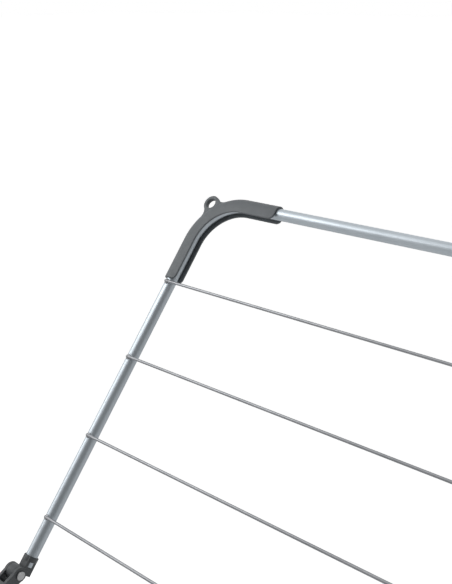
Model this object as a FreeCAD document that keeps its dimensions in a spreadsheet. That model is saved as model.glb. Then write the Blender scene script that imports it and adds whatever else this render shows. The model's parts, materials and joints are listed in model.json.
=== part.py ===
import FreeCAD, Part
import math
import os
import Sketcher

# A free-standing folding clothes airer: a centre rack on crossed legs, with a hinged wing at each end.
# X runs along the airer from wing to wing, Y along the drying wires, Z up.
# The origin is on the floor under the middle of the rack. Sizes are in millimetres and degrees.

SIZES = {
    "frame_tube": 14.0,        # outer diameter of rack and wing tubes
    "leg_tube": 16.0,          # outer diameter of leg tubes
    "tube_wall": 1.0,
    "wire": 3.5,               # drying wire diameter
    "wire_past": 1.5,          # how far a wire end stands past the side tube's axis
    "half_width": 275.0,       # side tube axis from the middle plane
    "rack_half": 520.0,        # half length of the rack side tubes
    "rack_height": 920.0,      # rack tube axis above the floor
    "cross_in": 40.0,          # rack cross tube axis inside the side tubes' ends
    "wing_reach": 490.0,       # hinge axis to end tube axis
    "wing_bend": 57.0,         # corner bend radius at the tube axis
    "wing_raise": 50.0,        # wing angle above level as it stands
    "first_wire": 117.0,       # end tube axis to the first wing wire
    "last_wire": 67.0,         # hinge axis to the last wing wire
    "hinge_past": 22.0,        # hinge axis beyond the rack tube's end
    "hinge_rise": 12.0,        # hinge axis above the rack tube axis
    "hinge_boss": 9.0,         # radius of the hinge eye and of the fork cheeks
    "eye_width": 10.4,
    "fork_cheek": 3.5,
    "fork_gap": 0.3,           # side gap between the eye and each cheek
    "fork_sleeve": 28.0,       # length of the sleeve on the rack tube
    "sleeve_wall": 3.0,
    "eye_offset": 22.0,        # hinge axis to the start of the wing tube
    "eye_collar": 6.0,
    "spigot": 24.0,            # length of the eye's spigot in the wing tube
    "clip_side_arm": 112.0,    # corner to clip end, along the side tube's axis
    "clip_end_arm": 107.0,     # corner to clip end, along the end tube's axis
    "clip_wall": 2.3,
    "clip_fit": 0.2,
    "front_flange": 11.0,      # flange reach inside the tube axis, wire side
    "back_flange": 9.0,        # flange reach inside the tube axis, other side
    "flange_round": 6.0,
    "eyelet_inset": 5.5,       # eyelet centre inside the corner, along both axes
    "eyelet_rise": 3.0,        # eyelet's middle plane above the tube's
    "eyelet_radius": 10.5,
    "eyelet_hole": 6.2,
    "eyelet_thick": 6.0,
    "eyelet_sink": 2.0,        # how deep the eyelet's root goes into the clip's wall
    "eyelet_root": 19.0,       # half width of the eyelet's root on the clip
    "eyelet_neck": 10.3,       # half width where the flanks run into the ring
    "eyelet_flank": 12.0,      # radius of its hollow flanks
    "pin": 6.0,                # diameter of every pivot pin
    "pin_fit": 0.05,           # radial running clearance of pins
    "head": 2.0,               # rivet head thickness
    "head_radius": 5.0,
    "leg_angle": 55.0,         # legs above the floor
    "leg_gap": 1.4,            # free space between a saddle's cheek and a leg tube
    "leg_bend": 60.0,
    "leg_drop": 20.0,          # leg pivots below the rack tube axis
    "leg_over": 14.0,          # tube end beyond the top pivot
    "leg_cross": 312.0,        # top pivot to crossing pivot, the same on both frames
    "brace_at": 900.0,         # top pivot to brace tube
    "foot_sole": 4.0,          # rubber under the tube
    "foot_wall": 3.5,
    "foot_width": 46.0,
    "foot_long": 36.0,
    "foot_in": 90.0,           # foot centre inside the leg tube axis
    "saddle_long": 44.0,
    "saddle_cheek": 3.0,
    "saddle_top": 5.0,         # cheek top above the rack tube axis
    "saddle_base": 29.0,       # saddle bottom below the rack tube axis
    "saddle_fit": 0.6,         # sliding clearance of the shoes on the tube
    "bracket_fit": 0.15,       # clearance of the fixed saddles on the tube
    "knob_at": 12.0,           # clamp screw from the slider pin, along the tube
    "knob_radius": 9.5,
    "knob_thick": 9.0,
    "knob_hub": 5.7,           # radius of the knob's hub, and width of its wings
    "screw": 5.0,
    "plug_cap": 3.0,
    "plug_deep": 9.0,
}
FORMULAS = {
    # leg tube axis beside the rack side tube axis
    "leg_side": "=frame_tube / 2 + saddle_fit + saddle_cheek + leg_gap + leg_tube / 2",
}
RACK_WIRES = 8
WING_WIRES = 4
CUT_REACH = 4                  # length of a cutting tool, in widths of what it cuts
TOLERANCE = 0.01
ENDS = (("east", 0.0), ("west", 180.0))
SIDES = (("north", 1.0), ("south", -1.0))
X_AXIS = FreeCAD.Vector(1, 0, 0)
Y_AXIS = FreeCAD.Vector(0, 1, 0)
Z_AXIS = FreeCAD.Vector(0, 0, 1)

doc = FreeCAD.newDocument("Airer")
parts = []


def make_sheet():
    """Put every driving size in a named spreadsheet cell."""
    sheet = doc.addObject("Spreadsheet::Sheet", "Sizes")
    for row, (alias, value) in enumerate((*SIZES.items(), *FORMULAS.items()), start=1):
        sheet.set("A%d" % row, alias)
        sheet.set("B%d" % row, str(value))
        sheet.setAlias("B%d" % row, alias)
    doc.recompute()
    return sheet


sheet = make_sheet()


def size(alias):
    return float(getattr(sheet, alias))


def bind(item, **expressions):
    """Bind properties to sheet expressions; a bare alias is written as @alias."""
    for name, text in expressions.items():
        item.setExpression(name, text.replace("@", "Sizes."))


def keep(item, label, placement=None):
    """Name a finished sub-part and put it in its place."""
    item.Label = label
    if placement is not None:
        item.Placement = placement
    parts.append(item)
    return item


def move(x, y, z):
    return FreeCAD.Placement(FreeCAD.Vector(x, y, z), FreeCAD.Rotation())


def turn(axis, degrees):
    return FreeCAD.Placement(FreeCAD.Vector(), FreeCAD.Rotation(axis, degrees))


# ---- derived places ----------------------------------------------------------------------------

RACK = move(0, 0, size("rack_height"))
WIRE_RISE = (size("frame_tube") + size("wire")) / 2
WIRE_LENGTH = 2 * (size("half_width") + size("wire_past"))
CROSS_AT = size("rack_half") - size("cross_in")
WIRE_PITCH = (size("wing_reach") - size("first_wire") - size("last_wire")) / (WING_WIRES - 1)
HINGE_AT = size("rack_half") + size("hinge_past")
LEG_TILT = math.radians(size("leg_angle"))
BAR_HEIGHT = size("leg_tube") / 2 + size("foot_sole")
LEG_LENGTH = (size("rack_height") - size("leg_drop") - BAR_HEIGHT) / math.sin(LEG_TILT)
PIVOT_AT = size("leg_cross") * math.cos(LEG_TILT)
PIVOT_HEIGHT = size("rack_height") - size("leg_drop")


def wing_place(spin):
    """The frame of a wing: origin on the hinge axis, X out along the wing, Z square to it."""
    hinge = move(HINGE_AT, 0, size("hinge_rise"))
    return turn(Z_AXIS, spin) * RACK * hinge * turn(Y_AXIS, -size("wing_raise"))


def leg_place(spin):
    """The frame of a leg frame: origin at its top pivot, X down along the leg."""
    top = move(-PIVOT_AT, 0, PIVOT_HEIGHT)
    return turn(Z_AXIS, spin) * top * turn(Y_AXIS, size("leg_angle"))


# ---- sketch helpers ----------------------------------------------------------------------------

def plane_of(body, role):
    return next(item for item in body.Origin.OriginFeatures if item.Role == role)


def sketch_on(body, role, name):
    sketch = body.newObject("Sketcher::SketchObject", name)
    sketch.AttachmentSupport = [(plane_of(body, role), "")]
    sketch.MapMode = "FlatFace"
    return sketch


def constrain(sketch, *rule, to=None):
    """Add a constraint; one with a size is bound to a sheet expression."""
    index = sketch.addConstraint(Sketcher.Constraint(*rule))
    if to is not None:
        sketch.setExpression("Constraints[%d]" % index, to.replace("@", "Sizes."))
    return index


def ring(sketch, centre_x, radii):
    """Concentric circles centred on the sketch's X axis at an expression's value."""
    for radius in radii:
        circle = sketch.addGeometry(Part.Circle(FreeCAD.Vector(-1, 0, 0), Z_AXIS, 1.0))
        constrain(sketch, "DistanceX", circle, 3, -1, 1, 1.0, to=centre_x)
        constrain(sketch, "PointOnObject", circle, 3, -1)
        constrain(sketch, "Radius", circle, 1.0, to=radius)


def polygon(sketch, points, expressions):
    """A closed chain of lines whose corners are bound one by one."""
    count = len(points)
    for index, point in enumerate(points):
        after = points[(index + 1) % count]
        sketch.addGeometry(Part.LineSegment(FreeCAD.Vector(*point, 0), FreeCAD.Vector(*after, 0)))
    for index in range(count):
        constrain(sketch, "Coincident", index, 2, (index + 1) % count, 1)
    for index, (point, texts) in enumerate(zip(points, expressions)):
        constrain(sketch, "DistanceX", -1, 1, index, 1, point[0], to=texts[0])
        constrain(sketch, "DistanceY", -1, 1, index, 1, point[1], to=texts[1])


def u_path(sketch, reach, half, bend, reach_text, half_text, bend_text):
    """Arm, bend, end bar, bend, arm; both arms start at X = 0."""
    vector = FreeCAD.Vector
    far = reach - bend
    flat = half - bend
    low_centre = vector(far, -flat, 0)
    high_centre = vector(far, flat, 0)
    sketch.addGeometry(Part.LineSegment(vector(0, -half, 0), vector(far, -half, 0)))
    sketch.addGeometry(Part.ArcOfCircle(Part.Circle(low_centre, Z_AXIS, bend), -math.pi / 2, 0))
    sketch.addGeometry(Part.LineSegment(vector(reach, -flat, 0), vector(reach, flat, 0)))
    sketch.addGeometry(Part.ArcOfCircle(Part.Circle(high_centre, Z_AXIS, bend), 0, math.pi / 2))
    sketch.addGeometry(Part.LineSegment(vector(far, half, 0), vector(0, half, 0)))
    for index in range(4):
        constrain(sketch, "Tangent", index, 2, index + 1, 1)
    constrain(sketch, "Horizontal", 0)
    constrain(sketch, "Vertical", 2)
    constrain(sketch, "Horizontal", 4)
    constrain(sketch, "PointOnObject", 0, 1, -2)
    constrain(sketch, "PointOnObject", 4, 2, -2)
    constrain(sketch, "Radius", 1, bend, to=bend_text)
    constrain(sketch, "Radius", 3, bend, to=bend_text)
    constrain(sketch, "DistanceX", -1, 1, 2, 1, reach, to=reach_text)
    constrain(sketch, "DistanceY", 0, 1, -1, 1, half, to=half_text)
    constrain(sketch, "DistanceY", -1, 1, 4, 2, half, to=half_text)


def swept(body, profile, path):
    pipe = body.newObject("PartDesign::AdditivePipe", "Sweep")
    pipe.Profile = profile
    pipe.Spine = (path, ["Edge%d" % (index + 1) for index in range(path.GeometryCount)])
    return pipe


def cut_through(body, sketch):
    """Cut a sketch through the whole body, to both sides."""
    doc.recompute()
    before = body.Shape.Volume
    pocket = body.newObject("PartDesign::Pocket", "Cut")
    pocket.Profile = sketch
    pocket.Type = "ThroughAll"
    pocket.SideType = "Symmetric"
    doc.recompute()
    if body.Shape.Volume >= before:
        raise RuntimeError("%s: a cut removed nothing" % body.Label)
    return pocket


# ---- tubes and wires ---------------------------------------------------------------------------

def u_tube(label, placement, reach, half, bend, diameter, texts):
    """A round tube bent into a U."""
    body = doc.addObject("PartDesign::Body", label)
    path = sketch_on(body, "XY_Plane", "Path")
    u_path(path, reach, half, bend, *texts[:3])
    profile = sketch_on(body, "YZ_Plane", "Section")
    ring(profile, texts[1], (texts[3] + " / 2", texts[3] + " / 2 - @tube_wall"))
    swept(body, profile, path)
    return keep(body, label, placement)


def wing_tube(label, place):
    start = size("eye_offset")
    texts = ("@wing_reach - @eye_offset", "@half_width", "@wing_bend", "@frame_tube")
    local = move(start, 0, -size("hinge_rise"))
    u_tube(label, place * local, size("wing_reach") - start, size("half_width"),
           size("wing_bend"), size("frame_tube"), texts)


def leg_tube(label, place, side):
    """A leg frame's tube, with cross holes for its top pivot and for the crossing pivot."""
    reach_text = ("(@rack_height - @leg_drop - @leg_tube / 2 - @foot_sole) / sin(@leg_angle * 1 deg)"
                  " + @leg_over")
    half_text = "@half_width + @leg_side" if side > 0 else "@half_width - @leg_side"
    half = size("half_width") + side * size("leg_side")
    texts = (reach_text, half_text, "@leg_bend", "@leg_tube")
    body = u_tube(label, place * move(-size("leg_over"), 0, 0), LEG_LENGTH + size("leg_over"), half,
                  size("leg_bend"), size("leg_tube"), texts)
    holes = sketch_on(body, "XZ_Plane", "PinHoles")
    for at_text in ("@leg_over", "@leg_over + @leg_cross"):
        circle = holes.addGeometry(Part.Circle(FreeCAD.Vector(1, 0, 0), Z_AXIS, 1.0))
        constrain(holes, "DistanceX", -1, 1, circle, 3, 1.0, to=at_text)
        constrain(holes, "PointOnObject", circle, 3, -1)
        constrain(holes, "Radius", circle, 1.0, to="@pin / 2 + @pin_fit")
    cut_through(body, holes)


def rod(name, axis, radius_text, length_text, length, centre):
    """A plain cylinder centred on a point."""
    item = doc.addObject("Part::Cylinder", name)
    bind(item, Radius=radius_text, Height=length_text)
    item.Placement = FreeCAD.Placement(centre, FreeCAD.Rotation(Z_AXIS, axis)) * move(0, 0, -length / 2)
    return item


def box(name, lengths, texts, centre):
    """A box centred on a point."""
    item = doc.addObject("Part::Box", name)
    bind(item, Length=texts[0], Width=texts[1], Height=texts[2])
    item.Placement = move(*(mid - full / 2 for mid, full in zip(centre, lengths)))
    return item


def union(name, items):
    fuse = doc.addObject("Part::MultiFuse", name)
    fuse.Shapes = items
    return fuse


def less(name, base, tool):
    cut = doc.addObject("Part::Cut", name)
    cut.Base = base
    cut.Tool = tool
    return cut


def rack_side_tube(label, y):
    length = 2 * size("rack_half")
    centre = FreeCAD.Vector(0, y, 0)
    outer = rod(label + "_outer", X_AXIS, "@frame_tube / 2", "2 * @rack_half", length, centre)
    inner = rod(label + "_bore", X_AXIS, "@frame_tube / 2 - @tube_wall", "2 * @rack_half", length, centre)
    keep(less(label, outer, inner), label, RACK)


def coped_tube(label, place, x, half, half_text, tube):
    """A straight tube between two side tubes, its ends hollowed to fit round them."""
    length = 2 * half
    length_text = "2 * (%s)" % half_text
    centre = FreeCAD.Vector(x, 0, 0)
    outer = rod(label + "_outer", Y_AXIS, "@%s / 2" % tube, length_text, length, centre)
    tools = [rod(label + "_bore", Y_AXIS, "@%s / 2 - @tube_wall" % tube, length_text, length, centre)]
    for name, sign in SIDES:
        end = FreeCAD.Vector(x, sign * half, 0)
        tools.append(rod(label + "_cope_" + name, X_AXIS, "@%s / 2 + @pin_fit" % tube,
                         "%d * @%s" % (CUT_REACH, tube), CUT_REACH * size(tube), end))
    keep(less(label, outer, union(label + "_cuts", tools)), label, place)


def drying_wire(label, place, x, z):
    wire = rod(label, Y_AXIS, "@wire / 2", "2 * @half_width + 2 * @wire_past",
               WIRE_LENGTH, FreeCAD.Vector(x, 0, z))
    keep(wire, label, place * wire.Placement)


# ---- corner clip -------------------------------------------------------------------------------

def clip_path(body, arms):
    """The clip's own stretch of the wing tube's axis: arm, bend, arm, with the corner at the origin."""
    first, last = (size(arm) for arm in arms)
    bend = size("wing_bend")
    path = sketch_on(body, "XY_Plane", "Path")
    vector = FreeCAD.Vector
    path.addGeometry(Part.LineSegment(vector(0, -first, 0), vector(0, -bend, 0)))
    path.addGeometry(Part.ArcOfCircle(Part.Circle(vector(-bend, -bend, 0), Z_AXIS, bend), 0, math.pi / 2))
    path.addGeometry(Part.LineSegment(vector(-bend, 0, 0), vector(-last, 0, 0)))
    constrain(path, "Tangent", 0, 2, 1, 1)
    constrain(path, "Tangent", 1, 2, 2, 1)
    constrain(path, "Vertical", 0)
    constrain(path, "Horizontal", 2)
    constrain(path, "PointOnObject", 0, 1, -2)
    constrain(path, "PointOnObject", 2, 2, -1)
    constrain(path, "Radius", 1, bend, to="@wing_bend")
    constrain(path, "DistanceY", 0, 1, -1, 1, first, to="@" + arms[0])
    constrain(path, "DistanceX", 2, 2, -1, 1, last, to="@" + arms[1])
    return path


def end_sketch(body, name, arm):
    """A sketch square to the clip's first arm, at its free end."""
    sketch = sketch_on(body, "XZ_Plane", name)
    sketch.AttachmentOffset = move(0, 0, size(arm))
    sketch.setExpression("AttachmentOffset.Base.z", "Sizes." + arm)
    return sketch


def clip_section(body, arm):
    """A channel: half a ring on the outer side of the tube and a flat flange on each face."""
    inner = size("frame_tube") / 2 + size("clip_fit")
    outer = inner + size("clip_wall")
    inner_text = "@frame_tube / 2 + @clip_fit"
    outer_text = inner_text + " + @clip_wall"
    front = -size("front_flange")
    back = -size("back_flange")
    vector = FreeCAD.Vector
    section = end_sketch(body, "Section", arm)
    centre = vector(0, 0, 0)
    half = math.pi / 2
    section.addGeometry(Part.ArcOfCircle(Part.Circle(centre, Z_AXIS, outer), -half, half))
    section.addGeometry(Part.LineSegment(vector(0, outer, 0), vector(front, outer, 0)))
    section.addGeometry(Part.LineSegment(vector(front, outer, 0), vector(front, inner, 0)))
    section.addGeometry(Part.LineSegment(vector(front, inner, 0), vector(0, inner, 0)))
    section.addGeometry(Part.ArcOfCircle(Part.Circle(centre, Z_AXIS, inner), -half, half))
    section.addGeometry(Part.LineSegment(vector(0, -inner, 0), vector(back, -inner, 0)))
    section.addGeometry(Part.LineSegment(vector(back, -inner, 0), vector(back, -outer, 0)))
    section.addGeometry(Part.LineSegment(vector(back, -outer, 0), vector(0, -outer, 0)))
    constrain(section, "Coincident", 0, 3, -1, 1)
    constrain(section, "Coincident", 4, 3, -1, 1)
    constrain(section, "Radius", 0, outer, to=outer_text)
    constrain(section, "Radius", 4, inner, to=inner_text)
    chain = ((0, 2, 1, 1), (1, 2, 2, 1), (2, 2, 3, 1), (3, 2, 4, 2), (4, 1, 5, 1), (5, 2, 6, 1),
             (6, 2, 7, 1), (7, 2, 0, 1))
    for link in chain:
        constrain(section, "Coincident", *link)
    for line in (1, 3, 5, 7):
        constrain(section, "Horizontal", line)
    for line in (2, 6):
        constrain(section, "Vertical", line)
    for arc, point in ((0, 2), (0, 1), (4, 2), (4, 1)):
        constrain(section, "PointOnObject", arc, point, -2)
    constrain(section, "DistanceX", 1, 2, -1, 1, -front, to="@front_flange")
    constrain(section, "DistanceX", 6, 1, -1, 1, -back, to="@back_flange")
    return section


def flange_corners(shape, arms):
    """The short upright edges at the free corners of the two flanges."""
    names = []
    for number, edge in enumerate(shape.Edges, start=1):
        middle = edge.BoundBox.Center
        upright = abs(edge.BoundBox.ZLength - size("clip_wall")) < TOLERANCE
        short = abs(edge.Length - size("clip_wall")) < TOLERANCE
        arm = arms[0] if middle.y < middle.x else arms[1]
        at_end = abs(min(middle.x, middle.y) + size(arm)) < TOLERANCE
        inward = max(middle.x, middle.y) < TOLERANCE - size("back_flange")
        if upright and short and at_end and inward:
            names.append("Edge%d" % number)
    return names


def eyelet_sketch(body, name):
    """A sketch on the eyelet's middle plane, with X out along the corner's diagonal."""
    sketch = sketch_on(body, "XY_Plane", name)
    diagonal = FreeCAD.Rotation(Z_AXIS, 45)
    sketch.AttachmentOffset = FreeCAD.Placement(FreeCAD.Vector(0, 0, size("eyelet_rise")), diagonal)
    sketch.setExpression("AttachmentOffset.Base.z", "Sizes.eyelet_rise")
    return sketch


def eyelet_root(body):
    """The eyelet's root: a web with hollow flanks from the clip's outer side to the ring."""
    bend = size("wing_bend")
    outer = size("frame_tube") / 2 + size("clip_fit") + size("clip_wall")
    root = size("eyelet_root")
    neck = size("eyelet_neck")
    sag = root ** 2 / (2 * (bend + outer))
    foot = bend + outer - bend * math.sqrt(2) - size("eyelet_sink") - sag
    foot_text = ("@wing_bend * (1 - sqrt(2)) + @frame_tube / 2 + @clip_fit + @clip_wall - @eyelet_sink"
                 " - @eyelet_root ^ 2 / (2 * (@wing_bend + @frame_tube / 2 + @clip_fit + @clip_wall))")
    top = -size("eyelet_inset") * math.sqrt(2)
    top_text = "-@eyelet_inset * sqrt(2)"
    vector = FreeCAD.Vector
    web = eyelet_sketch(body, "EyeletRoot")
    web.addGeometry(Part.LineSegment(vector(foot, root, 0), vector(foot, -root, 0)))
    web.addGeometry(Part.LineSegment(vector(top, -neck, 0), vector(top, neck, 0)))
    flank = size("eyelet_flank")
    half_chord = vector(top - foot, root - neck, 0).Length / 2
    bow = flank - math.sqrt(flank ** 2 - half_chord ** 2)
    for side in (-1, 1):
        low = vector(foot, side * root, 0)
        high = vector(top, side * neck, 0)
        middle = (low + high) * 0.5 + vector(0.0, -side * bow, 0)
        web.addGeometry(Part.Arc(low, middle, high))
    links = ((0, 1, 3), (0, 2, 2), (1, 1, 2), (1, 2, 3))
    for line, point, arc in links:
        target = web.getPoint(line, point)
        near = min((1, 2), key=lambda which: (web.getPoint(arc, which) - target).Length)
        constrain(web, "Coincident", line, point, arc, near)
    corners = ((0, 1, foot, root, foot_text, "@eyelet_root"),
               (0, 2, foot, -root, foot_text, "-@eyelet_root"),
               (1, 1, top, -neck, top_text, "-@eyelet_neck"),
               (1, 2, top, neck, top_text, "@eyelet_neck"))
    for line, point, x, y, x_text, y_text in corners:
        constrain(web, "DistanceX", -1, 1, line, point, x, to=x_text)
        constrain(web, "DistanceY", -1, 1, line, point, y, to=y_text)
    for arc in (2, 3):
        constrain(web, "Radius", arc, flank, to="@eyelet_flank")
    pad(body, web, "@eyelet_thick")


def eyelet_disc(body, name, radius_text):
    """A circle on the eyelet's centre."""
    disc = eyelet_sketch(body, name)
    circle = disc.addGeometry(Part.Circle(FreeCAD.Vector(-1, 0, 0), Z_AXIS, 1.0))
    constrain(disc, "DistanceX", circle, 3, -1, 1, 1.0, to="@eyelet_inset * sqrt(2)")
    constrain(disc, "PointOnObject", circle, 3, -1)
    constrain(disc, "Radius", circle, 1.0, to=radius_text)
    return disc


def clear_tube(body, path, arm):
    """Take the tube's space out of the eyelet's root."""
    section = end_sketch(body, "TubeSpace", arm)
    circle = section.addGeometry(Part.Circle(FreeCAD.Vector(), Z_AXIS, 1.0))
    constrain(section, "Coincident", circle, 3, -1, 1)
    constrain(section, "Radius", circle, 1.0, to="@frame_tube / 2 + @clip_fit")
    doc.recompute()
    before = body.Shape.Volume
    pipe = body.newObject("PartDesign::SubtractivePipe", "TubeSpaceCut")
    pipe.Profile = section
    pipe.Spine = (path, ["Edge1", "Edge2", "Edge3"])
    doc.recompute()
    if body.Shape.Volume >= before:
        raise RuntimeError("%s: the tube's space removed nothing" % body.Label)


def pad(body, sketch, length_text):
    item = body.newObject("PartDesign::Pad", "Pad")
    item.Profile = sketch
    item.SideType = "Symmetric"
    bind(item, Length=length_text)
    return item


def corner_clip(label, place, sign):
    body = doc.addObject("PartDesign::Body", label)
    arms = ("clip_end_arm", "clip_side_arm")[::int(sign)]
    channel = swept(body, clip_section(body, arms[0]), clip_path(body, arms))
    doc.recompute()
    corners = flange_corners(body.Shape, arms)
    if len(corners) != 4:
        raise RuntimeError("%s: %d flange corners found" % (label, len(corners)))
    rounded = body.newObject("PartDesign::Fillet", "FlangeRounds")
    rounded.Base = (channel, corners)
    bind(rounded, Radius="@flange_round")
    doc.recompute()
    eyelet_root(body)
    pad(body, eyelet_disc(body, "Ring", "@eyelet_radius"), "@eyelet_thick")
    cut_through(body, eyelet_disc(body, "Hole", "@eyelet_hole"))
    clear_tube(body, channel.Spine[0], arms[0])
    quarter = 0.0 if sign > 0 else -90.0
    corner = move(size("wing_reach"), sign * size("half_width"), -size("hinge_rise"))
    keep(body, label, place * corner * turn(Z_AXIS, quarter))


# ---- wing hinges -------------------------------------------------------------------------------

def hinge_fork(label, place, y):
    """A sleeve on the rack tube's end that carries two cheeks for the hinge pin."""
    end = size("rack_half")
    sleeve = size("fork_sleeve")
    past = size("hinge_past")
    rise = size("hinge_rise")
    boss = size("hinge_boss")
    slot = size("eye_width") + 2 * size("fork_gap")
    slot_text = "(@eye_width + 2 * @fork_gap)"
    full = slot + 2 * size("fork_cheek")
    full_text = "(@eye_width + 2 * @fork_gap + 2 * @fork_cheek)"
    radius_text = "@frame_tube / 2 + @sleeve_wall"
    wall = size("sleeve_wall")
    vector = FreeCAD.Vector
    shell = rod(label + "_sleeve", X_AXIS, radius_text, "@fork_sleeve + @sleeve_wall", sleeve + wall,
                vector(end - sleeve / 2 + wall / 2, y, 0))
    cheeks = doc.addObject("PartDesign::Body", label + "_cheeks")
    outline = sketch_on(cheeks, "XZ_Plane", "Outline")
    low = size("frame_tube") / 2
    corners = ((end, -low), (end + past, rise - boss), (end + past, rise + boss), (end, low + wall))
    texts = (("@rack_half", "-@frame_tube / 2"),
             ("@rack_half + @hinge_past", "@hinge_rise - @hinge_boss"),
             ("@rack_half + @hinge_past", "@hinge_rise + @hinge_boss"),
             ("@rack_half", "@frame_tube / 2 + @sleeve_wall"))
    polygon(outline, corners, texts)
    pad(cheeks, outline, full_text)
    cheeks.Placement = move(0, y, 0)
    pin_centre = vector(end + past, y, rise)
    boss_rod = rod(label + "_boss", Y_AXIS, "@hinge_boss", full_text, full, pin_centre)
    solid = union(label + "_solid", [shell, cheeks, boss_rod])
    deep = past + boss
    gap = box(label + "_gap", (2 * deep, slot, CUT_REACH * 2 * boss),
              ("2 * (@hinge_past + @hinge_boss)", slot_text, "%d * 2 * @hinge_boss" % CUT_REACH),
              (end + wall + deep, y, 0))
    bore = rod(label + "_bore", X_AXIS, "@frame_tube / 2 + @pin_fit", "@fork_sleeve", sleeve,
               vector(end - sleeve / 2, y, 0))
    pin_hole = rod(label + "_pin_hole", Y_AXIS, "@pin / 2 + @pin_fit", "2 * " + full_text, 2 * full,
                   pin_centre)
    keep(less(label, solid, union(label + "_cuts", [gap, bore, pin_hole])), label, place)


def hinge_eye(label, place, y):
    """The eye on the wing tube's end, with a collar against the tube and a spigot inside it."""
    offset = size("eye_offset")
    rise = size("hinge_rise")
    tube = size("frame_tube")
    spigot = size("spigot")
    width = size("eye_width")
    collar = size("eye_collar")
    vector = FreeCAD.Vector
    boss = rod(label + "_boss", Y_AXIS, "@hinge_boss", "@eye_width", width, vector(0, y, 0))
    block = box(label + "_block", (offset, width, tube), ("@eye_offset", "@eye_width", "@frame_tube"),
                (offset / 2, y, -rise))
    ring_rod = rod(label + "_collar", X_AXIS, "@frame_tube / 2 + @tube_wall", "@eye_collar", collar,
                   vector(offset - collar / 2, y, -rise))
    plug = rod(label + "_spigot", X_AXIS, "@frame_tube / 2 - @tube_wall - @pin_fit", "@spigot", spigot,
               vector(offset + spigot / 2, y, -rise))
    solid = union(label + "_solid", [boss, block, ring_rod, plug])
    hole = rod(label + "_hole", Y_AXIS, "@pin / 2 + @pin_fit", "2 * @eye_width", 2 * width,
               vector(0, y, 0))
    keep(less(label, solid, hole), label, place)


def rivet(name, centre, low, high, low_text, high_text, heads):
    """A pin along Y between two offsets from a centre, with a head at each listed end."""
    length = high - low
    middle = centre + FreeCAD.Vector(0, (high + low) / 2, 0)
    pieces = [rod(name + "_shank", Y_AXIS, "@pin / 2", "(%s) - (%s)" % (high_text, low_text), length,
                  middle)]
    for sign in heads:
        offset = (high if sign > 0 else low) + sign * size("head") / 2
        pieces.append(rod(name + "_head", Y_AXIS, "@head_radius", "@head", size("head"),
                          centre + FreeCAD.Vector(0, offset, 0)))
    return union(name, pieces)


def group(label, items, place=None):
    """Several separate solids in one sub-part."""
    compound = doc.addObject("Part::Compound", label)
    compound.Links = items
    keep(compound, label, place)


def wing_hinges(end_name, spin):
    place = turn(Z_AXIS, spin) * RACK
    half = size("eye_width") / 2 + size("fork_gap") + size("fork_cheek") + size("fork_gap")
    half_text = "@eye_width / 2 + 2 * @fork_gap + @fork_cheek"
    rivets = []
    for side_name, sign in SIDES:
        y = sign * size("half_width")
        name = end_name + "_" + side_name
        hinge_fork("hinge_fork_" + name, place, y)
        hinge_eye("hinge_eye_" + name, wing_place(spin), y)
        rivets.append(rivet("rivet_" + name, FreeCAD.Vector(HINGE_AT, y, size("hinge_rise")),
                            -half, half, "-(%s)" % half_text, half_text, (-1, 1)))
    group("wing_hinge_rivets_" + end_name, rivets, place)


# ---- legs --------------------------------------------------------------------------------------

def saddle(label, x, y, fit):
    """A block that straddles the rack tube from below and carries a leg pin."""
    inner = size("frame_tube") / 2 + size(fit)
    inner_text = "@frame_tube / 2 + @%s" % fit
    outer = size("frame_tube") / 2 + size("saddle_fit") + size("saddle_cheek")
    outer_text = "@frame_tube / 2 + @saddle_fit + @saddle_cheek"
    top = size("saddle_top")
    base = -size("saddle_base")
    body = doc.addObject("PartDesign::Body", label)
    outline = sketch_on(body, "YZ_Plane", "Outline")
    points = ((-outer, base), (outer, base), (outer, top), (inner, top), (inner, -inner),
              (-inner, -inner), (-inner, top), (-outer, top))
    low, high = "-@saddle_base", "@saddle_top"
    out, back = outer_text, "-(%s)" % outer_text
    right, left = inner_text, "-(%s)" % inner_text
    texts = ((back, low), (out, low), (out, high), (right, high), (right, left), (left, left),
             (left, high), (back, high))
    polygon(outline, points, texts)
    pad(body, outline, "@saddle_long")
    hole = sketch_on(body, "XZ_Plane", "PinHole")
    circle = hole.addGeometry(Part.Circle(FreeCAD.Vector(0, -1, 0), Z_AXIS, 1.0))
    constrain(hole, "DistanceY", circle, 3, -1, 1, 1.0, to="@leg_drop")
    constrain(hole, "PointOnObject", circle, 3, -2)
    constrain(hole, "Radius", circle, 1.0, to="@pin / 2 + @pin_fit")
    cut_through(body, hole)
    if fit == "saddle_fit":
        screw_hole = sketch_on(body, "XY_Plane", "ScrewHole")
        circle = screw_hole.addGeometry(Part.Circle(FreeCAD.Vector(1, 0, 0), Z_AXIS, 1.0))
        constrain(screw_hole, "DistanceX", -1, 1, circle, 3, 1.0, to="@knob_at")
        constrain(screw_hole, "PointOnObject", circle, 3, -1)
        constrain(screw_hole, "Radius", circle, 1.0, to="@screw / 2 + @pin_fit")
        cut_through(body, screw_hole)
    keep(body, label, move(x, y, size("rack_height")))


def leg_pins(label, x, out):
    """The two top pins of a leg frame; out is +1 where the leg is outside the rack tube."""
    inner = size("frame_tube") / 2 + size("saddle_cheek")
    far = size("leg_side") + size("leg_tube") / 2 + size("fork_gap")
    inner_text = "@frame_tube / 2 + @saddle_cheek"
    far_text = "@leg_side + @leg_tube / 2 + @fork_gap"
    pins = []
    for side_name, sign in SIDES:
        centre = FreeCAD.Vector(x, sign * size("half_width"), PIVOT_HEIGHT)
        name = label + "_" + side_name
        if sign * out > 0:
            pins.append(rivet(name, centre, -inner, far, "-(%s)" % inner_text, far_text, (1,)))
        else:
            pins.append(rivet(name, centre, -far, inner, "-(%s)" % far_text, inner_text, (-1,)))
    group(label, pins)


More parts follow.
